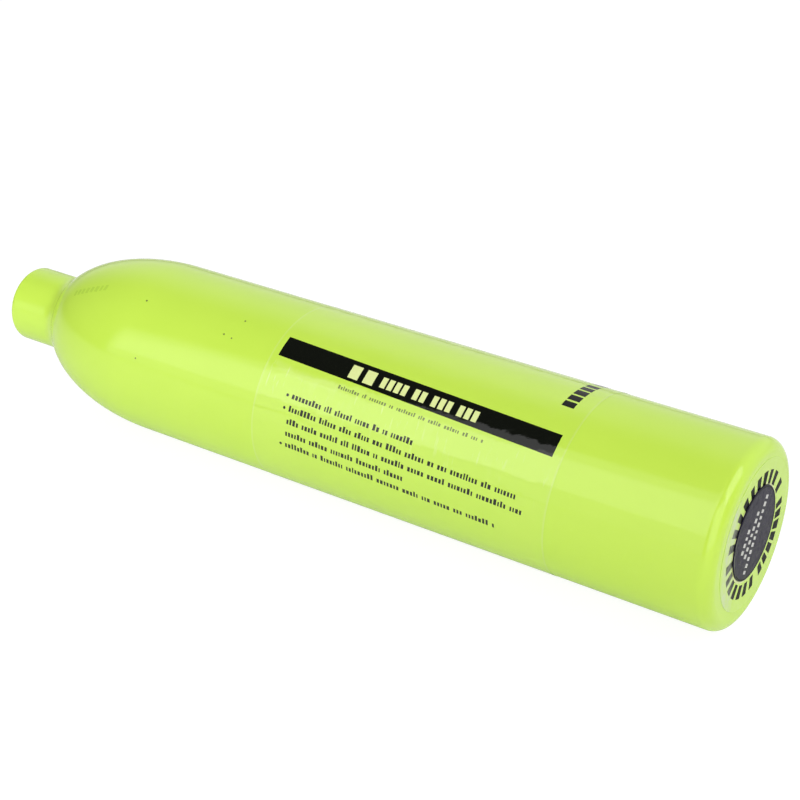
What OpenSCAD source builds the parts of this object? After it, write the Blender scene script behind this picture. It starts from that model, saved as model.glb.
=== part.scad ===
// Small scuba cylinder, bare, lying on its side.
// X runs along the cylinder: the base faces +X and the neck points to -X. Z is up.
// The origin is on the surface that the cylinder lies on, below the middle of its length.

/* [Body] */
// Outside diameter of the body
body_d = 57.15; // [52:0.05:62]
// Length from the base to the end of the neck
total_len = 272; // [260:1:300]
// Length of the straight body, from the base to where the dome starts
straight_len = 208; // [195:1:208]
// Wall thickness of the straight body
wall = 4.2; // [3.5:0.1:5]
// Thickness of the base
base_t = 7.5; // [6:0.5:10]
// Outside corner radius of the base
base_corner_r = 4; // [3:0.5:5]
// Inside corner radius of the base
base_inner_r = 12; // [8:1:16]

/* [Dome] */
// Axial semi-axis of the dome's outside ellipse
dome_len = 47; // [45:0.5:49]
// Radial semi-axis of the dome's outside ellipse
dome_w = 23.5; // [22:0.5:25]
// Axial semi-axis of the dome's inside ellipse
dome_inner_len = 43.5; // [42:0.5:44.5]

/* [Neck] */
// Outside diameter of the neck
neck_d = 25.8; // [25:0.1:27]
// Rounding of the neck's outer edge
neck_edge_r = 1.6; // [0.5:0.1:1.6]
// Radius of the hollow between the dome and the neck
neck_fillet_r = 9; // [1:0.5:12]
// Minor diameter of the M18 x 1.5 internal thread, which is the bore's wall
thread_minor_d = 16.376; // [16:0.002:17]
// Major diameter of the thread, at the lead-in chamfer
thread_major_d = 18; // [17.5:0.5:18.5]
// Diameter of the seal seat at the mouth
seat_d = 22.4; // [22:0.1:22.6]
// Depth of the seal seat
seat_depth = 5; // [4.9:0.1:6]

/* [Wrap film] */
// Distance from the base to the film's near edge
film_from = 49.6; // [30:0.1:60]
// Width of the film along the body
film_w = 103.2; // [80:0.1:120]
// Thickness of the film
film_t = 0.1; // [0.05:0.05:0.2]

/* [Base decal and badge] */
// Diameter of the clear round decal
decal_d = 45.6; // [40:0.1:46]
// Thickness of the clear round decal
decal_t = 0.1; // [0.05:0.05:0.2]
// Diameter of the dark badge
badge_d = 28.4; // [24:0.1:32]
// Thickness of the dark badge
badge_t = 0.4; // [0.3:0.1:0.8]
// How far the decal sits from the axis, sideways
decal_off_y = 1; // [-1.2:0.1:1.2]
// How far the decal sits from the axis, upwards
decal_off_z = 0.5; // [-1:0.1:1]
// How far the badge sits from the axis, sideways
badge_off_y = 0.1; // [-2:0.1:2]
// How far the badge sits from the axis, upwards
badge_off_z = 1.6; // [-2:0.1:2]

/* [Mouth plug] */
// Diameter of the plug's disc
plug_d = 21.4; // [21:0.1:21.6]
// Height of the plug's disc
plug_rim_h = 3.4; // [3:0.1:3.6]
// Thickness of the plug's web
plug_web_t = 1.4; // [1:0.1:1.6]
// Width of the plug's rim wall
plug_rim_w = 2; // [1.8:0.1:2.4]
// Diameter of the plug's finger knob
knob_d = 6.4; // [5:0.1:8]
// Height of the plug's finger knob
knob_h = 4.5; // [4:0.1:4.6]
// Number of stiffening ribs between the plug's knob and rim
rib_count = 6; // [4:1:8]
// Thickness of the plug's rubber ring
ring_t = 1.8; // [1.6:0.1:2]

/* [Hidden] */
$fn = 96;
lime = [0.80, 0.94, 0.34];
clear_film = [0.86, 0.97, 0.62];
badge_dark = [0.16, 0.15, 0.19];
plug_black = [0.10, 0.10, 0.11];
ring_black = [0.05, 0.05, 0.05];
eps = 0.01;
body_r = body_d / 2;
bore_r = body_r - wall;
neck_r = neck_d / 2;
thread_r = thread_minor_d / 2;
seat_r = seat_d / 2;
// radius that the dome's outside ellipse is centred on
dome_centre_r = body_r - dome_w;
// where the dome's inside ellipse meets the thread's bore
bore_end = straight_len + dome_inner_len * sqrt(1 - pow(thread_r / bore_r, 2));
seat_floor = total_len - seat_depth;
lead_in = (thread_major_d - thread_minor_d) / 2;
// the badge and the decal stand proud of the base, and the whole is centred on the origin
base_x = total_len / 2 - (decal_t + badge_t) / 2;
axis_z = body_r + film_t;
// gap between the plug and the seat that holds it
plug_gap = 0.05;
badge_bevel = 0.25;
ring_r = seat_r - plug_gap - ring_t / 2;
ring_h = plug_rim_h / 2;
groove_clear = 0.02;
plug_r = plug_d / 2;
plug_edge = 0.3;
plug_draft = 0.4;
knob_neck_r = knob_d / 2 - 0.7;
knob_head_h = 1.2;
knob_flare = 0.5;
knob_edge = 0.4;
rib_t = 1;
rib_top = 2.6;

// points of an ellipse's arc about a centre, from angle a0 to angle a1
function arc(centre, r1, r2, a0, a1, n) =
    [for (i = [0:n]) let (a = a0 + (a1 - a0) * i / n) centre + [r1 * cos(a), r2 * sin(a)]];

// Everything is turned from a profile of [radius, distance from the base],
// then laid down with the base towards +X.
module lay_down() {
    translate([base_x, 0, axis_z]) rotate([0, -90, 0]) children();
}

module turned() {
    lay_down() rotate_extrude() children();
}

// radius at which a hollow of neck_fillet_r that touches the dome at angle a has its centre
function hollow_r(a) =
    dome_centre_r + dome_w * cos(a) + neck_fillet_r * dome_len * cos(a) / norm([dome_len * cos(a), dome_w * sin(a)]);
// the angle at which that centre lies one hollow's radius off the neck, between low and high
function hollow_start(low, high, n = 40) =
    let (mid = (low + high) / 2)
    n == 0 ? mid
    : hollow_r(mid) > neck_r + neck_fillet_r ? hollow_start(mid, high, n - 1)
    : hollow_start(low, mid, n - 1);
// where the dome's outside arc ends, as an angle about its centre
dome_stop = hollow_start(0, 90);
// the way the dome faces there, as an angle from the base's plane
dome_facing = atan2(dome_w * sin(dome_stop), dome_len * cos(dome_stop));
// where the neck's straight wall starts
neck_start = straight_len + dome_len * sin(dome_stop) + neck_fillet_r * sin(dome_facing);
// where the dome's inside arc ends, as an angle about its centre
dome_inner_stop = acos(thread_r / bore_r);

module shell_outline() {
    polygon(concat(
        [[0, 0]],
        arc([body_r - base_corner_r, base_corner_r], base_corner_r, base_corner_r, -90, 0, 10),
        arc([dome_centre_r, straight_len], dome_w, dome_len, 0, dome_stop, 40),
        arc([neck_r + neck_fillet_r, neck_start], neck_fillet_r, neck_fillet_r, 180 + dome_facing, 180, 12),
        arc([neck_r - neck_edge_r, total_len - neck_edge_r], neck_edge_r, neck_edge_r, 0, 90, 6),
        [[0, total_len]]
    ));
}

module air_space() {
    polygon(concat(
        [[0, base_t]],
        arc([bore_r - base_inner_r, base_t + base_inner_r], base_inner_r, base_inner_r, -90, 0, 12),
        arc([0, straight_len], bore_r, dome_inner_len, 0, dome_inner_stop, 30),
        [
            [thread_r, seat_floor - lead_in],
            [thread_r + lead_in, seat_floor],
            [seat_r, seat_floor],
            [seat_r, total_len + eps],
            [0, total_len + eps]
        ]
    ));
}

// Seamless aluminium pressure shell: flat base, straight wall, dome and threaded neck
module cylinder_shell() {
    color(lime) turned() difference() {
        shell_outline();
        air_space();
    }
}

// Clear printed film wrapped round the straight body
module wrap_film() {
    color(clear_film) turned()
        translate([body_r, film_from]) square([film_t, film_w]);
}

module on_base(standoff, off_y, off_z) {
    translate([base_x + standoff, off_y, axis_z + off_z]) rotate([0, 90, 0]) children();
}

// Clear round decal on the base
module base_decal() {
    color(clear_film) on_base(0, decal_off_y, decal_off_z) cylinder(d = decal_d, h = decal_t);
}

// Dark round badge stuck on the decal, a little off its middle, with a bevelled edge
module base_badge() {
    badge_r = badge_d / 2;
    color(badge_dark) on_base(decal_t, badge_off_y, badge_off_z) rotate_extrude() polygon([
        [0, 0],
        [badge_r, 0],
        [badge_r, badge_t - badge_bevel],
        [badge_r - badge_bevel, badge_t],
        [0, badge_t]
    ]);
}

module plug_outline() {
    polygon([
        [0, 0],
        [plug_r - plug_edge, 0],
        [plug_r, plug_edge],
        [plug_r, plug_rim_h - plug_edge],
        [plug_r - plug_edge, plug_rim_h],
        [plug_r - plug_rim_w, plug_rim_h],
        [plug_r - plug_rim_w - plug_draft, plug_web_t],
        [knob_neck_r, plug_web_t],
        [knob_neck_r, knob_h - knob_head_h - knob_flare],
        [knob_d / 2, knob_h - knob_head_h],
        [knob_d / 2, knob_h - knob_edge],
        [knob_d / 2 - knob_edge, knob_h],
        [0, knob_h]
    ]);
}

// Ribs across the plug's dish, from the knob's neck to the rim, sunk a little into both
module plug_ribs() {
    rib_from = knob_neck_r - 0.2;
    rib_to = plug_r - plug_rim_w + 0.2;
    for (i = [0:rib_count - 1])
        rotate([0, 0, i * 360 / rib_count])
            translate([rib_from, -rib_t / 2, plug_web_t / 2])
                cube([rib_to - rib_from, rib_t, rib_top - plug_web_t / 2]);
}

// Push-in plug that keeps dirt and damp out of the open neck: a dish with a raised rim,
// a groove for its rubber ring, ribs and a knob to pull it by, all below the neck's end
module plug_cap() {
    color(plug_black) lay_down() translate([0, 0, seat_floor + plug_gap]) {
        rotate_extrude() difference() {
            plug_outline();
            translate([ring_r, ring_h]) circle(r = ring_t / 2 + groove_clear, $fn = 48);
        }
        plug_ribs();
    }
}

// Rubber ring round the plug that grips and seals the seat
module plug_ring() {
    color(ring_black) turned()
        translate([ring_r, seat_floor + plug_gap + ring_h]) circle(d = ring_t, $fn = 48);
}

cylinder_shell();
wrap_film();
base_decal();
base_badge();
plug_cap();
plug_ring();
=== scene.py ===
"""Slim bare scuba cylinder lying on its side: glossy lime paint over aluminium, a clear printed film
wrapped round the body, a round decal with a dark badge on the base, and a push-in plug in the neck.

Lengths are in millimetres until a function turns them into the frame's metres. A point on the
cylinder is (r, phi, t): its distance from the axis, its angle from the top towards the front (-Y),
and its distance from the base towards the neck. A point on the film is (a, b): a runs from the
film's neck-side edge towards the base, and b round the body from the top down the front."""

import math
import random

import bmesh
import bpy
import numpy as np
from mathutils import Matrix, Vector, noise


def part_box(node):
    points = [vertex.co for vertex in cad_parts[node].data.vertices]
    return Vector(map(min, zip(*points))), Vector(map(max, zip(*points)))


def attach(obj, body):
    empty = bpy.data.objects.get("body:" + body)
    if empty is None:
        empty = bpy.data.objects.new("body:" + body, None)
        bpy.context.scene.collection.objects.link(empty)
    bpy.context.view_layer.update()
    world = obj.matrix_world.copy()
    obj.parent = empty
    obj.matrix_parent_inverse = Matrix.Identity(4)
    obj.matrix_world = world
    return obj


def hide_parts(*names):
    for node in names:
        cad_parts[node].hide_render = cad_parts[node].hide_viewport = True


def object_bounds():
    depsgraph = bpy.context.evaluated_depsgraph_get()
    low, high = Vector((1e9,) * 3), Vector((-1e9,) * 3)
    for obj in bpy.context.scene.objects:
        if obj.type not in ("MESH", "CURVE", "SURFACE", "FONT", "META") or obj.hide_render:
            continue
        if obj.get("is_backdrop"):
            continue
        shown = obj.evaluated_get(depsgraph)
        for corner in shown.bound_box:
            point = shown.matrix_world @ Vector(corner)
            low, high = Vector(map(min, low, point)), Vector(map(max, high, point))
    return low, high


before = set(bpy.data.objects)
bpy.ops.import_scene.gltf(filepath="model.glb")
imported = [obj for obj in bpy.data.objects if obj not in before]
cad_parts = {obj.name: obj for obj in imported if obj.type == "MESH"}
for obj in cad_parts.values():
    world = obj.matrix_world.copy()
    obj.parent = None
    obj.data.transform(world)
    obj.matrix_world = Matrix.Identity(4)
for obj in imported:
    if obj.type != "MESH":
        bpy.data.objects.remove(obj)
CAD_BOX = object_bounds()

MM = 0.001
SHELL_LO, SHELL_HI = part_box("cylinder_shell")
FILM_LO, FILM_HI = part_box("wrap_film")
DECAL_LO, DECAL_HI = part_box("base_decal")
BADGE_LO, BADGE_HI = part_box("base_badge")

# ---- sizes that come from the frame ----
BASE_X = SHELL_HI.x / MM
AXIS_Z = (SHELL_LO.z + SHELL_HI.z) / 2 / MM
BODY_R = (SHELL_HI.z - SHELL_LO.z) / 2 / MM
TOTAL_LEN = (SHELL_HI.x - SHELL_LO.x) / MM
FILM_END = BASE_X - FILM_LO.x / MM
DECAL_Y = (DECAL_LO.y + DECAL_HI.y) / 2 / MM
DECAL_Z = (DECAL_LO.z + DECAL_HI.z) / 2 / MM - AXIS_Z
DECAL_R = (DECAL_HI.z - DECAL_LO.z) / 2 / MM
DECAL_T = (DECAL_HI.x - DECAL_LO.x) / MM
BADGE_Y = (BADGE_LO.y + BADGE_HI.y) / 2 / MM - DECAL_Y
BADGE_Z = (BADGE_LO.z + BADGE_HI.z) / 2 / MM - AXIS_Z - DECAL_Z
BADGE_R = (BADGE_HI.z - BADGE_LO.z) / 2 / MM
BADGE_T = (BADGE_HI.x - BADGE_LO.x) / MM

# ---- the shell's own sizes, as in the CAD model ----
STRAIGHT_LEN = 208.0
WALL = 4.2
BASE_T = 7.5
CORNER_R = 4.0
INNER_CORNER_R = 12.0
DOME_LEN = 47.0
DOME_W = 23.5
DOME_INNER_LEN = 43.5
NECK_R = 12.9
NECK_EDGE_R = 1.6
NECK_FILLET = 9.0
THREAD_MINOR_R = 8.188
THREAD_MAJOR_R = 9.0
THREAD_PITCH = 1.5
SEAT_R = 11.2
SEAT_DEPTH = 5.0
SEAT_EDGE = 0.25
BORE_R = BODY_R - WALL
SEAT_FLOOR = TOTAL_LEN - SEAT_DEPTH
DOME_CENTRE_R = BODY_R - DOME_W
THREAD_START = STRAIGHT_LEN + DOME_INNER_LEN * math.sqrt(1 - (THREAD_MINOR_R / BORE_R) ** 2)

# ---- the film and its print ----
FILM_SKEW = 0.042
FILM_LEN = (FILM_HI.x - FILM_LO.x) / MM
FILM_TOP_T = FILM_END - 0.7
FILM_THICK = 0.025
FILM_LIE = 0.04
SEAM_B = -67.3
SEAM_LAP = 6.0
FILM_TURN = 2 * math.pi * BODY_R
FILM_STEP = 0.7
WRINKLE = 0.045
INK_LIFT = 0.006
INK_THICK = 0.005
INK_STEP = 0.7


# ---------------------------------------------------------------- places
def on_cylinder(r, phi, t):
    """A point on the cylinder, in the frame's metres."""
    return ((BASE_X - t) * MM, -r * math.sin(phi) * MM, (AXIS_Z + r * math.cos(phi)) * MM)


def on_base(y, z, height):
    """A point at y and z from the decal's centre, at a height above the base."""
    return ((BASE_X + height) * MM, (DECAL_Y + y) * MM, (AXIS_Z + DECAL_Z + z) * MM)


def smooth(x):
    """0 below 0, 1 above 1, and an S-shaped rise between them."""
    x = min(max(x, 0.0), 1.0)
    return x * x * (3 - 2 * x)


def bell(x, width):
    """A smooth bump of height 1 at x 0 that has nearly died away at three widths."""
    return math.exp(-((x / width) ** 2))


def film_wrinkle(a, b):
    """How far the film stands off where it lies, from 0 to WRINKLE: slack waves, a bubble below the
    band, and short creases that run round the body."""
    waves = 0.5 + 0.5 * noise.noise(Vector((a / 5.0, b / 3.2, 3.0)))
    slow = 0.5 + 0.5 * noise.noise(Vector((a / 17.0, b / 12.0, 11.0)))
    crease = 1 - abs(noise.noise(Vector((a / 2.2, b / 8.0, 7.0)))) * 4
    crease = max(crease, 0.0) * smooth((b - 19) / 4) * smooth((36 - b) / 8)
    crest = 21.4 + 1.1 * math.sin(a / 8.0) + a * 0.04
    bubble = bell(b - crest, 1.4) * smooth((a - 1) / 4) * smooth((34 - a) / 10)
    edge = bell(a, 1.0) + bell(FILM_LEN - a, 1.0)
    total = 0.34 * waves + 0.30 * slow + 0.22 * crease + 0.72 * bubble + 0.22 * edge
    round_ends = smooth((b - SEAM_B - SEAM_LAP) / 5) * smooth((SEAM_B + FILM_TURN - b) / 5)
    return WRINKLE * min(total, 1.0) * round_ends


def film_height(a, b):
    """Height of the film's outer face above the body. The last few millimetres lap over the first."""
    lap = smooth((b - SEAM_B - FILM_TURN + 0.4) / 0.8)
    return FILM_LIE + FILM_THICK * 1.3 * lap + film_wrinkle(a, b)


def on_film(a, b, lift):
    """A point at a lift above the film's outer face."""
    turn = (b * math.cos(FILM_SKEW) + a * math.sin(FILM_SKEW)) / BODY_R
    t = FILM_TOP_T - a * math.cos(FILM_SKEW) + b * math.sin(FILM_SKEW)
    return on_cylinder(BODY_R + film_height(a, b) + lift, turn, t)


# ---------------------------------------------------------------- meshes
def arc(centre, radii, start, stop, count):
    """Points (r, t) on an ellipse's arc, between two angles in radians."""
    angles = np.linspace(start, stop, count + 1)
    return [(centre[0] + radii[0] * math.cos(x), centre[1] + radii[1] * math.sin(x)) for x in angles]


def line(start, stop, step):
    """Points (r, t) from start towards stop, without stop itself, no further apart than step."""
    count = max(1, math.ceil(math.dist(start, stop) / step))
    return [tuple(s + (e - s) * i / count for s, e in zip(start, stop)) for i in range(count)]


def finish_mesh(name, verts, faces, kinds, materials, sharp_deg=28):
    """A smooth-shaded object from points and faces, with its sharp edges kept and outward normals."""
    mesh = bpy.data.meshes.new(name)
    mesh.from_pydata(verts, [], faces)
    for material in materials:
        mesh.materials.append(material)
    bm = bmesh.new()
    bm.from_mesh(mesh)
    bmesh.ops.recalc_face_normals(bm, faces=bm.faces)
    sharp = math.radians(sharp_deg)
    for face in bm.faces:
        face.smooth = True
    for edge in bm.edges:
        edge.smooth = edge.is_manifold and edge.calc_face_angle(0.0) < sharp
    bm.to_mesh(mesh)
    bm.free()
    if kinds is not None:
        mesh.polygons.foreach_set("material_index", kinds)
    obj = bpy.data.objects.new(name, mesh)
    bpy.context.scene.collection.objects.link(obj)
    return obj


def lathe(name, outline, materials, kinds=None, around=240, place=on_cylinder, radius=None):
    """A closed turned solid. outline runs from the axis back to the axis, kinds gives the material of
    each strip between its points, and radius may change r by angle, as a thread does."""
    verts, rings = [], []
    for r, t in outline:
        count = 1 if r == 0 else around
        rings.append(range(len(verts), len(verts) + count))
        for i in range(count):
            phi = 2 * math.pi * i / around
            verts.append(place(r if radius is None else radius(r, phi, t), phi, t))
    faces, face_kinds = [], []
    for strip, (low, high) in enumerate(zip(rings, rings[1:])):
        for i in range(around):
            j = (i + 1) % around
            ends = [low[i % len(low)], low[j % len(low)], high[j % len(high)], high[i % len(high)]]
            faces.append(list(dict.fromkeys(ends)))
            face_kinds.append(kinds[strip] if kinds else 0)
    return finish_mesh(name, verts, faces, face_kinds, materials)


def slab(us, vs, place, keep=None):
    """Points and faces of a thin closed solid over a grid. place(u, v, top) gives its points, and
    keep(u, v) at a cell's middle says whether the cell is there."""
    verts, faces, index = [], [], {}

    def corner(i, j, top):
        if (i, j, top) not in index:
            index[i, j, top] = len(verts)
            verts.append(place(us[i], vs[j], top))
        return index[i, j, top]

    cells = {
        (i, j)
        for i in range(len(us) - 1)
        for j in range(len(vs) - 1)
        if keep is None or keep((us[i] + us[i + 1]) / 2, (vs[j] + vs[j + 1]) / 2)
    }
    for i, j in sorted(cells):
        ring = [(i, j), (i + 1, j), (i + 1, j + 1), (i, j + 1)]
        faces.append([corner(*c, True) for c in ring])
        faces.append([corner(*c, False) for c in reversed(ring)])
        beside = [(i, j - 1), (i + 1, j), (i, j + 1), (i - 1, j)]
        for k, other in enumerate(beside):
            if other not in cells:
                p, q = ring[k], ring[(k + 1) % 4]
                faces.append([corner(*q, True), corner(*p, True), corner(*p, False), corner(*q, False)])
    return verts, faces


def split(edges, step):
    """The sorted edges with enough values between them to be no further apart than step."""
    edges = sorted(set(edges))
    out = []
    for low, high in zip(edges, edges[1:]):
        out += list(np.linspace(low, high, max(1, math.ceil((high - low) / step)), endpoint=False))
    return out + [edges[-1]]


def joined(name, parts, material, sharp_deg=28):
    """One object from several (points, faces) parts."""
    verts, faces = [], []
    for part_verts, part_faces in parts:
        faces += [[i + len(verts) for i in face] for face in part_faces]
        verts += part_verts
    return finish_mesh(name, verts, faces, None, [material], sharp_deg)


def dot(top, bottom):
    """Points and faces of a small closed solid between two rims of as many points."""
    sides = len(top)
    faces = [list(range(sides)), list(range(2 * sides - 1, sides - 1, -1))]
    faces += [[i, (i + 1) % sides, sides + (i + 1) % sides, sides + i] for i in range(sides)]
    return top + bottom, faces


def ink(a0, a1, b0, b1, holes=()):
    """A printed rectangle on the film, from a0 to a1 and b0 to b1, with rectangular holes."""
    us = split([a0, a1] + [x for hole in holes for x in hole[:2]], INK_STEP)
    vs = split([b0, b1] + [x for hole in holes for x in hole[2:]], INK_STEP)

    def place(a, b, top):
        return on_film(a, b, INK_LIFT + (INK_THICK if top else 0))

    def keep(a, b):
        return not any(h[0] < a < h[1] and h[2] < b < h[3] for h in holes)

    return slab(us, vs, place, keep if holes else None)


def ring_ink(r0, r1, turn0, turn1, height, steps=4, centre=(0, 0)):
    """A printed block between two radii and two angles round a centre on the base."""

    def place(r, turn, top):
        y, z = centre[0] + r * math.sin(turn), centre[1] + r * math.cos(turn)
        return on_base(y, z, height + (INK_THICK if top else 0))

    return slab([r0, r1], list(np.linspace(turn0, turn1, steps + 1)), place)


# ---------------------------------------------------------------- materials
class Recipe:
    """A Principled material that is built up with a few named steps."""

    def __init__(self, name, colour, roughness, **sockets):
        self.material = bpy.data.materials.new(name)
        self.material.use_nodes = True
        self.tree = self.material.node_tree
        self.shader = self.tree.nodes["Principled BSDF"]
        self.shader.inputs["Base Color"].default_value = (*colour, 1)
        self.shader.inputs["Roughness"].default_value = roughness
        for socket, value in sockets.items():
            self.shader.inputs[socket.replace("_", " ")].default_value = value
        self.coords = self.tree.nodes.new("ShaderNodeTexCoord").outputs["Object"]
        self.colour = None
        self.normal = None

    def node(self, kind, links=(), **settings):
        """Adds a node, sets its properties and sockets, and links its inputs."""
        new = self.tree.nodes.new(kind)
        for key, value in settings.items():
            if key in new.inputs:
                new.inputs[key].default_value = value
            else:
                setattr(new, key, value)
        for socket, source in links:
            self.tree.links.new(source, new.inputs[socket])
        return new

    def stretched(self, x, y, z):
        """Object coordinates scaled by x, y and z."""
        return self.node("ShaderNodeMapping", [("Vector", self.coords)], Scale=(x, y, z)).outputs[0]

    def noise(self, scale, detail=2.0, vector=None):
        """Noise from 0 to 1. scale counts features to the metre."""
        links = [("Vector", vector or self.coords)]
        return self.node("ShaderNodeTexNoise", links, Scale=scale, Detail=detail).outputs["Fac"]

    def ramp(self, source, low, high, out_low=0.0, out_high=1.0):
        """source from low to high becomes out_low to out_high, and no further."""
        new = self.node("ShaderNodeMapRange", [("Value", source)])
        sockets = ("From Min", "From Max", "To Min", "To Max")
        for socket, value in zip(sockets, (low, high, out_low, out_high)):
            new.inputs[socket].default_value = value
        return new.outputs["Result"]

    def times(self, first, second):
        """The product of two values."""
        return self.node("ShaderNodeMath", [(0, first), (1, second)], operation="MULTIPLY").outputs[0]

    def tint(self, factor, colour):
        """Mixes a colour into the base colour by a factor."""
        mix = self.node("ShaderNodeMix", [("Factor", factor)], data_type="RGBA")
        a, b = [s for s in mix.inputs if s.type == "RGBA"]
        if self.colour is None:
            a.default_value = self.shader.inputs["Base Color"].default_value
        else:
            self.tree.links.new(self.colour, a)
        b.default_value = (*colour, 1)
        self.colour = next(s for s in mix.outputs if s.type == "RGBA")
        self.tree.links.new(self.colour, self.shader.inputs["Base Color"])

    def rough(self, source, low, high):
        """Roughness from low to high by a value from 0 to 1."""
        self.tree.links.new(self.ramp(source, 0.3, 0.7, low, high), self.shader.inputs["Roughness"])

    def bump(self, height, depth):
        """Adds a bump: height 1 stands depth metres above height 0."""
        links = [("Height", height)] + ([("Normal", self.normal)] if self.normal else [])
        self.normal = self.node("ShaderNodeBump", links, Strength=1.0, Distance=depth).outputs[0]
        self.tree.links.new(self.normal, self.shader.inputs["Normal"])


LIME = (0.57, 0.82, 0.088)


def lime_paint():
    """Glossy powder coat: a slight orange peel, uneven tone, and a few specks of dust."""
    paint = Recipe("lime_paint", LIME, 0.12)
    paint.tint(paint.ramp(paint.noise(28, 3), 0.35, 0.65, 0.0, 0.35), (0.53, 0.79, 0.075))
    paint.tint(paint.ramp(paint.noise(900, 2), 0.62, 0.8, 0.0, 0.2), (0.62, 0.86, 0.12))
    cells = paint.node("ShaderNodeTexVoronoi", [("Vector", paint.coords)], Scale=95.0)
    speck = paint.ramp(cells.outputs["Distance"], 0.035, 0.02)
    chosen = paint.ramp(cells.outputs["Color"], 0.72, 0.74)
    paint.tint(paint.times(paint.times(speck, chosen), speck), (0.20, 0.30, 0.05))
    paint.rough(paint.noise(160, 3), 0.09, 0.14)
    paint.bump(paint.noise(420, 2), 0.000004)
    paint.bump(paint.noise(1900, 1), 0.0000007)
    return paint.material


def bare_aluminium():
    """Machined aluminium with fine tool marks round the axis."""
    metal = Recipe("bare_aluminium", (0.78, 0.79, 0.80), 0.3, Metallic=1.0)
    marks = metal.noise(1, 2, metal.stretched(9000, 60, 60))
    metal.tint(metal.ramp(metal.noise(90, 3), 0.4, 0.7, 0.0, 0.35), (0.66, 0.67, 0.69))
    metal.rough(marks, 0.24, 0.40)
    metal.bump(marks, 0.0000012)
    return metal.material


def film_ripples(recipe):
    """The small ripples that the film and its print share."""
    recipe.bump(recipe.noise(110, 2, recipe.stretched(1.0, 1.6, 1.6)), 0.00014)
    recipe.bump(recipe.noise(420, 3), 0.00004)


def clear_film():
    """Glossy clear film stuck to the paint, so that the lime shows through it at full strength. Painted
    reflection makes it paler where the film stands off, painted highlights streak its creases, and a
    painted glint makes a pale line along its cut edges."""
    film = Recipe("clear_film", LIME, 0.05, Specular_IOR_Level=0.75)
    film.tint(film.ramp(film.noise(28, 3), 0.35, 0.65, 0.0, 0.35), (0.53, 0.79, 0.075))
    lift = film.node("ShaderNodeAttribute", attribute_name="lift").outputs["Fac"]
    # Painted reflection: the film is tinted paler where it stands off the paint, as if light caught the
    # air gap.
    film.tint(film.ramp(lift, 0.45, 1.0, 0.0, 0.3), (0.68, 0.86, 0.25))
    slack = film.node("ShaderNodeAttribute", attribute_name="slack").outputs["Fac"]
    # Painted highlight: pale streaks along the creases, where they would catch the light.
    crease_highlights = film.ramp(film.noise(1, 2, film.stretched(850, 130, 130)), 0.60, 0.72)
    crease_highlights = film.times(slack, crease_highlights)
    film.tint(film.times(crease_highlights, film.ramp(film.noise(160, 2), 0.4, 0.6)), (0.78, 0.90, 0.45))
    edge = film.node("ShaderNodeAttribute", attribute_name="edge").outputs["Fac"]
    # Painted glint: a pale line along the film's cut edges and its seam.
    film.tint(film.ramp(edge, 0.2, 1.0, 0.0, 0.32), (0.72, 0.86, 0.38))
    film.rough(film.noise(220, 3), 0.035, 0.075)
    film_ripples(film)
    return film.material


def ink_material(name, colour, scuff, roughness=0.06, gloss=0.5, front_glint=False):
    """Glossy print under the film's varnish, with fine mottling, and optionally a painted glint that pales
    it on the decal's front side.
    """
    print_ = Recipe(name, colour, roughness, Specular_IOR_Level=gloss)
    print_.tint(print_.ramp(print_.noise(1400, 3), 0.5, 0.75, 0.0, 0.5), scuff)
    if front_glint:
        # Painted glint: the print turns paler on the decal's front side.
        print_.tint(front_glint_mask(print_), (0.40, 0.43, 0.34))
    print_.rough(print_.noise(260, 3), roughness * 0.7, roughness * 1.4)
    film_ripples(print_)
    return print_.material


def badge_vinyl():
    """Dark purple-grey vinyl with a fine speckle."""
    vinyl = Recipe("badge_vinyl", (0.013, 0.010, 0.026), 0.3, Specular_IOR_Level=0.08)
    vinyl.tint(vinyl.ramp(vinyl.noise(2600, 2), 0.5, 0.75, 0.0, 0.5), (0.035, 0.03, 0.055))
    vinyl.tint(vinyl.ramp(vinyl.noise(120, 2), 0.45, 0.7, 0.0, 0.4), (0.010, 0.008, 0.020))
    vinyl.rough(vinyl.noise(500, 3), 0.24, 0.4)
    vinyl.bump(vinyl.noise(1500, 2), 0.000003)
    return vinyl.material


def decal_film():
    """Clear round decal stuck to the paint: lime, with a painted glint, a pale mottled patch on its front
    side.
    """
    film = Recipe("decal_film", (0.57, 0.81, 0.115), 0.16, Specular_IOR_Level=0.35)
    film.tint(film.ramp(film.noise(260, 4), 0.45, 0.75, 0.0, 0.4), (0.60, 0.82, 0.17))
    # Painted glint: the decal turns paler and mottled on its front side.
    film.tint(front_glint_mask(film), (0.60, 0.66, 0.50))
    film.rough(film.noise(300, 3), 0.12, 0.24)
    film.bump(film.noise(500, 2), 0.000004)
    return film.material


def front_glint_mask(recipe):
    """Mask of a painted glint, from 0 to 1: strongest on the decal's front side, and broken up by noise.
    """
    parts = recipe.node("ShaderNodeSeparateXYZ", [("Vector", recipe.coords)]).outputs
    inner = recipe.ramp(parts["Y"], -0.0105, -0.0145)
    outer = recipe.ramp(parts["Y"], -0.0212, -0.0190)
    return recipe.times(recipe.times(inner, outer), recipe.ramp(recipe.noise(420, 4), 0.3, 0.6, 0.1, 0.6))


def plug_plastic():
    """Black moulded plastic with a fine spark-eroded grain and faint flow lines."""
    plastic = Recipe("plug_plastic", (0.03, 0.03, 0.034), 0.42)
    plastic.tint(plastic.ramp(plastic.noise(700, 3), 0.45, 0.75, 0.0, 0.5), (0.05, 0.05, 0.055))
    plastic.rough(plastic.noise(900, 2), 0.36, 0.52)
    plastic.bump(plastic.noise(4200, 2), 0.000008)
    return plastic.material


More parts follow.
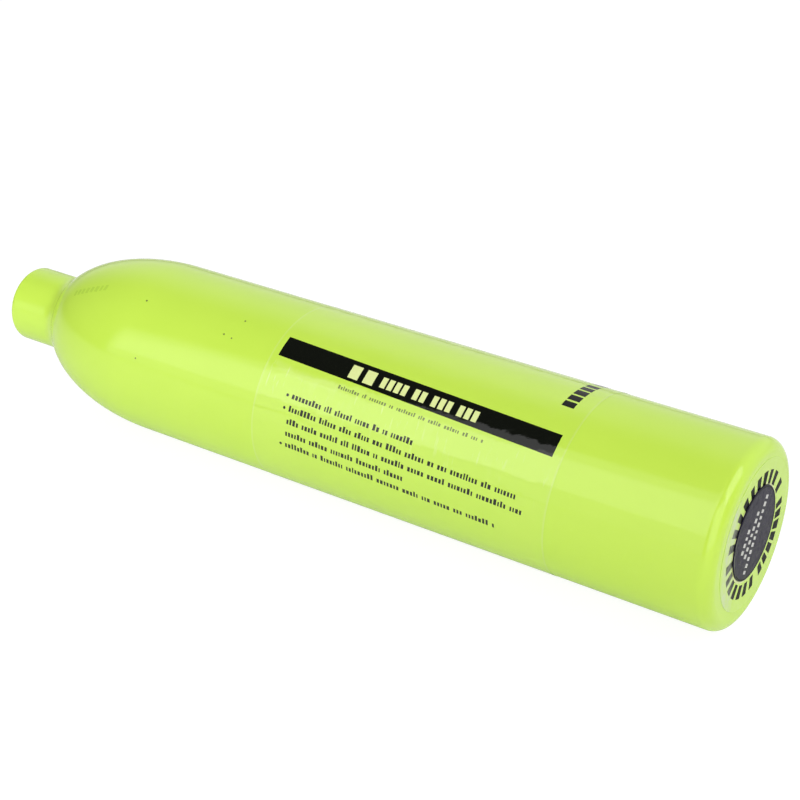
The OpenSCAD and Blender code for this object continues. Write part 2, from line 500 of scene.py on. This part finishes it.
def ring_rubber():
    """Matt black rubber with a dusty bloom."""
    rubber = Recipe("ring_rubber", (0.018, 0.018, 0.018), 0.62)
    rubber.tint(rubber.ramp(rubber.noise(500, 4), 0.5, 0.8, 0.0, 0.5), (0.045, 0.044, 0.042))
    rubber.rough(rubber.noise(800, 2), 0.55, 0.72)
    rubber.bump(rubber.noise(3500, 2), 0.000006)
    return rubber.material


# ---------------------------------------------------------------- the shell
def neck_fillet():
    """The dome's last angle and the points of the hollow curve between the dome and the neck."""
    low, high = 0.0, math.pi / 2
    for _ in range(60):
        angle = (low + high) / 2
        out = Vector((DOME_LEN * math.cos(angle), DOME_W * math.sin(angle))).normalized()
        centre_r = DOME_CENTRE_R + DOME_W * math.cos(angle) + NECK_FILLET * out.x
        low, high = (angle, high) if centre_r > NECK_R + NECK_FILLET else (low, angle)
    centre_t = STRAIGHT_LEN + DOME_LEN * math.sin(angle) + NECK_FILLET * out.y
    start = math.pi + math.atan2(out.y, out.x)
    centre = (NECK_R + NECK_FILLET, centre_t)
    return angle, arc(centre, (NECK_FILLET, NECK_FILLET), start, math.pi, 14)


def thread_radius(r, phi, t):
    """The wall of the neck's bore: the thread's 60 degree grooves, which fade out at the inner end."""
    if not (THREAD_START <= t < SEAT_FLOOR and r < THREAD_MAJOR_R):
        return r
    depth = THREAD_MAJOR_R - THREAD_MINOR_R
    across = abs((t / THREAD_PITCH - phi / (2 * math.pi)) % 1 - 0.5) * THREAD_PITCH
    flank = (across - THREAD_PITCH / 16) / math.tan(math.radians(30))
    groove = min(max(depth - flank, 0), depth) * smooth((t - THREAD_START - 1) / THREAD_PITCH)
    lead_in = max(0.0, t - (SEAT_FLOOR - depth))
    return THREAD_MINOR_R + max(groove, lead_in)


def make_shell():
    """The pressure shell: painted outside, bare aluminium at the mouth, in the thread and inside."""
    dome_stop, fillet = neck_fillet()
    outside = [(0, 0), (12, 0), (BODY_R - CORNER_R - 0.5, 0)]
    outside += arc((BODY_R - CORNER_R, CORNER_R), (CORNER_R, CORNER_R), -math.pi / 2, 0, 20)
    outside += line((BODY_R, CORNER_R + 0.5), (BODY_R, STRAIGHT_LEN - 0.5), 12)
    outside += [(BODY_R, STRAIGHT_LEN - 0.5)]
    outside += arc((DOME_CENTRE_R, STRAIGHT_LEN), (DOME_W, DOME_LEN), 0, dome_stop, 60)[:-1]
    outside += fillet
    outside += [(NECK_R, fillet[-1][1] + 0.5), (NECK_R, TOTAL_LEN - NECK_EDGE_R - 0.4)]
    edge_centre = (NECK_R - NECK_EDGE_R, TOTAL_LEN - NECK_EDGE_R)
    outside += arc(edge_centre, (NECK_EDGE_R, NECK_EDGE_R), 0, math.pi / 2, 12)
    inside = [(SEAT_R + SEAT_EDGE, TOTAL_LEN), (SEAT_R, TOTAL_LEN - SEAT_EDGE)]
    inside += [(SEAT_R, SEAT_FLOOR), (THREAD_MAJOR_R, SEAT_FLOOR)]
    bore = np.arange(SEAT_FLOOR - 0.05, THREAD_START, -0.125)
    inside += [(THREAD_MINOR_R, float(t)) for t in bore]
    inner_stop = math.acos(THREAD_MINOR_R / BORE_R)
    inside += arc((0, STRAIGHT_LEN), (BORE_R, DOME_INNER_LEN), inner_stop, 0, 40)
    corner = (BORE_R - INNER_CORNER_R, BASE_T + INNER_CORNER_R)
    inside += arc(corner, (INNER_CORNER_R, INNER_CORNER_R), 0, -math.pi / 2, 14)
    inside += [(0, BASE_T)]
    outline = outside + inside
    kinds = [0] * (len(outside) - 1) + [1] * len(inside)
    shell = lathe("shell", outline, [PAINT, BARE], kinds, radius=thread_radius)
    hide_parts("cylinder_shell")
    return shell


def on_dome(angle, phi, lift):
    """A point over the dome: angle runs from its wide end, about the centre of its outline."""
    out = Vector((DOME_LEN * math.cos(angle), DOME_W * math.sin(angle))).normalized()
    r = DOME_CENTRE_R + DOME_W * math.cos(angle) + out.x * lift
    return on_cylinder(r, phi, STRAIGHT_LEN + DOME_LEN * math.sin(angle) + out.y * lift)


def on_paint(t, phi, lift):
    """A point over the shell's side, t from the base: on the straight wall, then on the dome."""
    if t <= STRAIGHT_LEN:
        return on_cylinder(BODY_R + lift, phi, t)
    return on_dome(math.asin((t - STRAIGHT_LEN) / DOME_LEN), phi, lift)


STAMP_TOP, STAMP_BOTTOM = 0.7, 0.36
STAMP_PHI = math.radians(35)
STAMP_LENGTH = (0.022, 0.034)
STAMP_WIDTH = 0.085
STAMP_GAP = 0.016
STAMP_DRIFT = 0.02


def make_stamps():
    """A faint stamped row of dashes that runs down the dome, under the paint. Its sizes are angles in
    radians, on the dome's outline and round the axis."""
    parts = []
    draw = random.Random(5)
    angle, phi = STAMP_TOP, STAMP_PHI
    while angle > STAMP_BOTTOM:
        length = draw.uniform(*STAMP_LENGTH)
        parts.append(stamp(angle - length, angle, phi, phi + STAMP_WIDTH))
        angle -= length + STAMP_GAP
        phi -= STAMP_DRIFT
    stamps = joined("shoulder_stamps", parts, STAMP)
    return stamps


def stamp(angle0, angle1, phi0, phi1):
    """One stamped dash on the dome."""

    def place(angle, phi, top):
        return on_dome(angle, phi, 0.02 if top else -0.05)

    return slab([angle0, angle1], list(np.linspace(phi0, phi1, 5)), place)


SPECKS = 9
SPECK_SEED = 4
SPECK_REACH = (160, 212)
SPECK_R = (0.22, 0.42)
SPECK_SIDES = 10
SPECK_RISE = 0.03
SPECK_DEPTH = 0.08


def make_specks():
    """A few specks of grit caught in the paint between the film and the dome, scattered at random."""
    parts = []
    draw = random.Random(SPECK_SEED)
    for _ in range(SPECKS):
        t, phi = draw.uniform(*SPECK_REACH), draw.uniform(0, math.tau)
        radius = draw.uniform(*SPECK_R)
        turns = np.linspace(0, math.tau, SPECK_SIDES, False)
        rim = [(t + radius * math.sin(turn), phi + radius * math.cos(turn) / BODY_R) for turn in turns]
        top = [on_paint(*spot, SPECK_RISE) for spot in rim]
        parts.append(dot(top, [on_paint(*spot, -SPECK_DEPTH) for spot in rim]))
    specks = joined("paint_specks", parts, SPECK)
    return specks


# ---------------------------------------------------------------- the wrap film
def film_spot(co):
    """The place (a, b) on the film of a point in the frame."""
    t = BASE_X - co.x / MM
    turn = math.atan2(-co.y, co.z - AXIS_Z * MM)
    around, along = turn * BODY_R, FILM_TOP_T - t
    a = along * math.cos(FILM_SKEW) + around * math.sin(FILM_SKEW)
    b = around * math.cos(FILM_SKEW) - along * math.sin(FILM_SKEW)
    if b < SEAM_B:
        a, b = a + FILM_TURN * math.sin(FILM_SKEW), b + FILM_TURN * math.cos(FILM_SKEW)
    return a, b


def film_lift(a, b):
    """How far the film stands off, from 0 to 1."""
    return film_wrinkle(a, b) / WRINKLE


def film_edge_glint(a, b):
    """1 along the film's cut edges, where a painted glint shows as a fine pale line."""
    return max(bell(a, 0.5), bell(FILM_LEN - a, 0.5), 0.7 * bell(b - SEAM_B, 0.6))


def crease_highlight_mask(a, b):
    """1 where the film is creased and its painted crease highlights go: under the band, most of all at its
    neck end.
    """
    under_band = smooth((b - 20.5) / 2) * smooth((38 - b) / 12)
    return under_band * (0.35 + 0.65 * smooth((45 - a) / 40)) * smooth(a / 3) * smooth((FILM_LEN - a) / 3)


def make_film():
    """The clear film: one sheet wrapped once round the body, skewed, its end lapped over its start."""
    us = split([0, 0.4, 0.8, 1.5, FILM_LEN - 1.5, FILM_LEN - 0.8, FILM_LEN - 0.4, FILM_LEN], FILM_STEP)
    lap_from = SEAM_B + FILM_TURN
    vs = split([SEAM_B, lap_from - 1, lap_from + 1, lap_from + SEAM_LAP], FILM_STEP)

    def place(a, b, top):
        return on_film(a, b, 0 if top else -FILM_THICK)

    sheet = joined("wrap_sheet", [slab(us, vs, place)], FILM)
    spots = [film_spot(v.co) for v in sheet.data.vertices]
    for label, value in (("lift", film_lift), ("edge", film_edge_glint), ("slack", crease_highlight_mask)):
        layer = sheet.data.attributes.new(label, "FLOAT", "POINT")
        layer.data.foreach_set("value", [value(*spot) for spot in spots])
    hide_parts("wrap_film")
    return sheet


def greeked(a0, a1, b, height, draw, width=(0.45, 0.95), gap=0.42, word=(2, 9), space=1.0):
    """Blocks that stand for a row of print, centred on b and grouped like words."""
    blocks = []
    a = a0
    while a < a1 - width[0]:
        for _ in range(draw.randint(*word)):
            end = min(a + draw.uniform(*width), a1)
            rise = height * draw.choice((0.0, 0.0, 0.0, 0.35))
            if end - a > 0.3:
                blocks.append(ink(a, end, b - height / 2 - rise, b + height / 2))
            a = end + gap
            if a >= a1 - width[0]:
                break
        a += space
    return blocks


BAND = (2.5, 100, 12.5, 19.5)
MARK_ROW = (14, 18.5)
WORD_ROW = (14.5, 18)
TEXT_START = 13
TEXT_ROWS = [(30, 57), (34, 93), (38, 96), (42, 57), (46, 88)]
BULLETS = [30, 34, 46]
LARGE_ROW = (94, 98)


def band_holes():
    """The clear blocks in the band: two broad ones, then four groups of narrow ones."""
    holes = [(28.2, 31.8, *MARK_ROW), (33.6, 37.2, *MARK_ROW)]
    a = 39.6
    for group in (4, 2, 3, 3):
        for _ in range(group):
            holes.append((a, a + 1.8, *WORD_ROW))
            a += 2.5
        a += 1.6
    return holes


def make_print():
    """Everything that is printed on the film. Words are plain blocks."""
    draw = random.Random(11)
    holes = band_holes()
    made = {"band_print": (joined("band_print", [ink(*BAND, holes)], BLACK_INK), "print_ink")}
    pale = joined("band_marks", [ink(*hole) for hole in holes], PALE_INK)
    made["band_marks"] = (pale, "clear_film")
    note = greeked(27, 79, 22.3, 0.9, draw, width=(0.35, 0.7), gap=0.35)
    made["small_row"] = (joined("small_row", note, GREY_INK), "print_ink")
    for number, (b, end) in enumerate(TEXT_ROWS, 1):
        row = joined(f"text_row_{number}", greeked(TEXT_START, end, b, 1.4, draw), TEXT_INK)
        made[row.name] = (row, "print_ink")
    dots = [bullet(11.3, b) for b in BULLETS]
    made["bullets"] = (joined("bullets", dots, TEXT_INK), "print_ink")
    big = []
    b = 3
    for group in (5, 2, 6, 4, 5):
        for _ in range(group):
            wide = draw.uniform(2.4, 3.1)
            big.append(ink(*LARGE_ROW, b - wide, b))
            b -= wide + 0.75
        b -= 1.9
    made["large_row"] = (joined("large_row", big, ROW_INK), "print_ink")
    return [obj for obj, _ in made.values()]


def bullet(a, b, radius=0.48, sides=12):
    """A printed dot on the film."""
    turns = np.linspace(0, math.tau, sides, False)
    rim = [(a + radius * math.cos(x), b + radius * math.sin(x)) for x in turns]
    top = [on_film(*spot, INK_LIFT + INK_THICK) for spot in rim]
    return dot(top, [on_film(*spot, INK_LIFT) for spot in rim])


# ---------------------------------------------------------------- the base
def disc(name, radius, low, high, edge, material, y=0.0, z=0.0, relief=0.0, ring_step=0.9):
    """A thin round piece on the base, from height low to high, with a rounded edge and a little
    unevenness in its face. Its centre is at y and z from the decal's."""
    outline = [(0, -low), (radius, -low)]
    outline += arc((radius - edge, -high + edge), (edge, edge), 0, -math.pi / 2, 5)
    outline += line((radius - edge - 0.05, -high), (0, -high), ring_step) + [(0, -high)]

    def place(r, phi, t):
        across, up = r * math.sin(phi), r * math.cos(phi)
        if t <= -high + 1e-6:
            t += relief * (0.5 + 0.5 * noise.noise(Vector((across / 4, up / 4, radius))))
        return on_base(y + across, z + up, -t)

    return lathe(name, outline, [material], around=200, place=place)


RING_WORDS = [(-75, 40, 9), (60, 60, 1), (85, 155, 7), (175, 265, 7)]
BADGE_ROWS = [(1, 0, 24), (-2.5, 0, 15), (-6, -2, 9)]
BADGE_LEAN = math.radians(30)


def ring_blocks(height, draw):
    """Blocks that stand for words round the decal: each word runs clockwise from its first angle to
    its last, in degrees from the top."""
    blocks = []
    for first, last, count in RING_WORDS:
        for middle in np.linspace(first, last, count):
            half = draw.uniform(3.7, 4.9)
            turns = (math.radians(middle - half), math.radians(middle + half))
            blocks.append(ring_ink(14.9, 19.1, *turns, height))
    return blocks


def badge_blocks(height, draw):
    """Rows of small blocks across the badge, leaning clockwise: each row is given by its place across
    the rows, the middle of its length and its length."""
    along = Vector((math.sin(BADGE_LEAN), math.cos(BADGE_LEAN)))
    across = Vector((math.cos(BADGE_LEAN), -math.sin(BADGE_LEAN)))
    blocks = []
    for row, middle, length in BADGE_ROWS:
        place = middle - length / 2
        while place < middle + length / 2 - 0.8:
            wide = draw.uniform(0.9, 1.4)

            def spot(u, v, top):
                y, z = Vector((BADGE_Y, BADGE_Z)) + along * u + across * v
                return on_base(y, z, height + (INK_THICK if top else 0))

            blocks.append(slab([place, place + wide], [row - 0.95, row + 0.95], spot))
            place += wide + 0.9
    return blocks


def make_base_pieces():
    """The clear decal, its ring of blocks, the badge and the badge's rows."""
    top = DECAL_T + BADGE_T
    decal = disc("decal_disc", DECAL_R, 0, DECAL_T, 0.05, DECAL_FILM, relief=0.03)
    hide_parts("base_decal")
    badge_face = top - 0.03
    badge = disc("badge_disc", BADGE_R, DECAL_T, badge_face, 0.22, BADGE, BADGE_Y, BADGE_Z, relief=0.02)
    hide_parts("base_badge")
    centre = (BADGE_Y, BADGE_Z)
    whole = {"steps": 180, "centre": centre}
    rim = [ring_ink(BADGE_R - 0.7, BADGE_R - 0.3, 0, math.tau, badge_face - 0.002, **whole)]
    rim = joined("badge_rim", rim, BASE_INK)
    halo = [ring_ink(BADGE_R + 0.05, BADGE_R + 0.6, 0, math.tau, DECAL_T + 0.004, **whole)]
    halo = joined("badge_halo", halo, PALE_INK)
    ring = joined("decal_ring_blocks", ring_blocks(DECAL_T + 0.004, random.Random(9)), BASE_INK)
    rows = joined("badge_rows", badge_blocks(badge_face, random.Random(3)), WHITE_INK)
    return [decal, badge, rim, halo, ring, rows]


# ---------------------------------------------------------------- stage, light and camera
FLOOR_PALE = 0.85
FLOOR_SHADE = 0.17
FLOOR_GLOW = 0.92
FLOOR_EMISSION = 0.05
WORLD_DIM = 0.07
WORLD_BRIGHT = 0.95


def make_floor():
    """A plain floor: near white to the camera, and pale to the light that it sends back up, with painted
    shade that darkens that light towards -X, past the neck end.
    """
    emission = {"Emission_Color": (1, 1, 1, 1), "Emission_Strength": FLOOR_EMISSION}
    floor = Recipe("floor", (FLOOR_PALE,) * 3, 0.6, **emission)
    floor.tint(floor.noise(2.0, 2), (FLOOR_PALE * 1.01,) * 3)
    parts = floor.node("ShaderNodeSeparateXYZ", [("Vector", floor.coords)]).outputs
    # Painted shade: the floor grows darker towards -X, so it sends less light to the neck end.
    floor.tint(floor.ramp(parts["X"], -0.22, -0.8, 0.0, 0.75), (FLOOR_PALE * 0.3,) * 3)
    tree = floor.tree
    white = floor.node("ShaderNodeEmission", Strength=FLOOR_GLOW)
    shaded = floor.node("ShaderNodeBsdfDiffuse", Color=(FLOOR_SHADE, FLOOR_SHADE, FLOOR_SHADE, 1))
    both = floor.node("ShaderNodeAddShader", [(0, white.outputs[0]), (1, shaded.outputs[0])])
    seen = floor.node("ShaderNodeLightPath").outputs["Is Camera Ray"]
    links = [(0, seen), (1, floor.shader.outputs[0]), (2, both.outputs[0])]
    mixed = floor.node("ShaderNodeMixShader", links)
    tree.links.new(mixed.outputs[0], tree.nodes["Material Output"].inputs[0])
    half = 6.0
    mesh = bpy.data.meshes.new("floor")
    corners = [(-half, -half, 0), (half, -half, 0), (half, half, 0), (-half, half, 0)]
    mesh.from_pydata(corners, [], [(0, 1, 2, 3)])
    mesh.materials.append(floor.material)
    obj = bpy.data.objects.new("floor", mesh)
    bpy.context.scene.collection.objects.link(obj)
    obj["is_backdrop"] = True


def make_world():
    """White surroundings: bright behind the object, dim in front and overhead, where the soft boxes
    are. The camera itself sees plain white."""
    world = bpy.data.worlds.new("studio")
    bpy.context.scene.world = world
    world.use_nodes = True
    nodes, links = world.node_tree.nodes, world.node_tree.links
    direction = nodes.new("ShaderNodeSeparateXYZ")
    links.new(nodes.new("ShaderNodeTexCoord").outputs["Generated"], direction.inputs[0])
    behind = nodes.new("ShaderNodeMapRange")
    behind.interpolation_type = "SMOOTHSTEP"
    links.new(direction.outputs["Y"], behind.inputs["Value"])
    reach = {"From Min": 0.1, "From Max": 0.65, "To Min": WORLD_DIM, "To Max": WORLD_BRIGHT}
    for socket, value in reach.items():
        behind.inputs[socket].default_value = value
    seen = nodes.new("ShaderNodeMix")
    links.new(nodes.new("ShaderNodeLightPath").outputs["Is Camera Ray"], seen.inputs["Factor"])
    links.new(behind.outputs["Result"], seen.inputs["A"])
    seen.inputs["B"].default_value = 1.0
    links.new(seen.outputs["Result"], nodes["Background"].inputs["Strength"])
    nodes["Background"].inputs["Color"].default_value = (1, 1, 1, 1)


def softbox(name, start, stop, low, high, radiance):
    """An upright soft box whose foot runs from start to stop on the floor, in metres, and which
    shines to the left of that line."""
    start, stop = Vector((*start, 0)), Vector((*stop, 0))
    along = stop - start
    lamp = bpy.data.lights.new(name, "AREA")
    lamp.shape = "RECTANGLE"
    lamp.size = along.length
    lamp.size_y = high - low
    lamp.energy = radiance * math.pi * lamp.size * lamp.size_y
    obj = bpy.data.objects.new(name, lamp)
    obj.location = (start + stop) / 2 + Vector((0, 0, (low + high) / 2))
    facing = Vector((-along.y, along.x, 0))
    obj.rotation_euler = facing.to_track_quat("-Z", "Y").to_euler()
    obj.visible_camera = False
    bpy.context.scene.collection.objects.link(obj)


def overhead(name, place, target, size, radiance):
    """A square lamp that is aimed at a target, all in metres."""
    lamp = bpy.data.lights.new(name, "AREA")
    lamp.size = size
    lamp.energy = radiance * math.pi * size * size
    obj = bpy.data.objects.new(name, lamp)
    obj.location = place
    obj.rotation_euler = (Vector(target) - Vector(place)).to_track_quat("-Z", "Y").to_euler()
    obj.visible_camera = False
    bpy.context.scene.collection.objects.link(obj)


def make_camera():
    """A long lens that looks down on the base end from the front."""
    azimuth, elevation, distance = math.radians(33.32), math.radians(29.22), 0.5347
    target = Vector(((BASE_X - 117.7) * MM, 0, (AXIS_Z + 7.85) * MM))
    level = math.cos(elevation)
    back = Vector((math.sin(azimuth) * level, -math.cos(azimuth) * level, math.sin(elevation)))
    data = bpy.data.cameras.new("camera")
    data.lens = 77.8
    camera = bpy.data.objects.new("camera", data)
    camera.location = target + back * distance
    camera.rotation_euler = (-back).to_track_quat("-Z", "Y").to_euler()
    bpy.context.scene.collection.objects.link(camera)
    bpy.context.scene.camera = camera


# ---------------------------------------------------------------- all of it
PAINT = lime_paint()
BARE = bare_aluminium()
FILM = clear_film()
DECAL_FILM = decal_film()
BADGE = badge_vinyl()
BLACK_INK = ink_material("black_ink", (0.003, 0.004, 0.002), (0.007, 0.008, 0.005))
ROW_INK = ink_material("row_ink", (0.003, 0.004, 0.002), (0.007, 0.008, 0.005), 0.06, 0.2)
TEXT_INK = ink_material("text_ink", (0.008, 0.012, 0.003), (0.03, 0.045, 0.01))
BASE_INK = ink_material("base_ink", (0.005, 0.007, 0.003), (0.015, 0.02, 0.008), 0.3, 0.03, True)
GREY_INK = ink_material("grey_ink", (0.16, 0.22, 0.05), (0.25, 0.34, 0.08))
PALE_INK = ink_material("pale_ink", (0.74, 0.82, 0.34), (0.80, 0.88, 0.42))
WHITE_INK = ink_material("white_ink", (0.55, 0.55, 0.52), (0.40, 0.40, 0.40), 0.25)
SPECK = ink_material("speck_paint", (0.09, 0.14, 0.03), (0.16, 0.24, 0.05), 0.3)
STAMP = ink_material("stamp_paint", (0.47, 0.72, 0.07), (0.53, 0.78, 0.08), 0.14)

for piece in [make_shell(), make_stamps(), make_specks(), make_film(), *make_print(), *make_base_pieces()]:
    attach(piece, "cylinder")
for node, material in (("plug_cap", plug_plastic()), ("plug_ring", ring_rubber())):
    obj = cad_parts[node]
    obj.data.materials.clear()
    obj.data.materials.append(material)

make_floor()
make_world()
overhead("top_softbox", (0.9, 0.05, 1.2), (0.05, 0.0, 0.03), 1.0, 2.5)
overhead("front_fill", (0.90, -0.95, 0.70), (0.05, 0.0, 0.03), 1.4, 1.66)
softbox("key_softbox", (-1.25, -1.17), (0.06, -0.42), 0.02, 1.95, 1.05)
softbox("key_core", (-0.92, -0.97), (0.06, -0.41), 0.20, 0.90, 1.0)
make_camera()
bpy.context.scene.view_settings.view_transform = "Standard"

boxes = {"cad": CAD_BOX, "visual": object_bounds()}
{name: [list(corner) for corner in box] for name, box in boxes.items()}
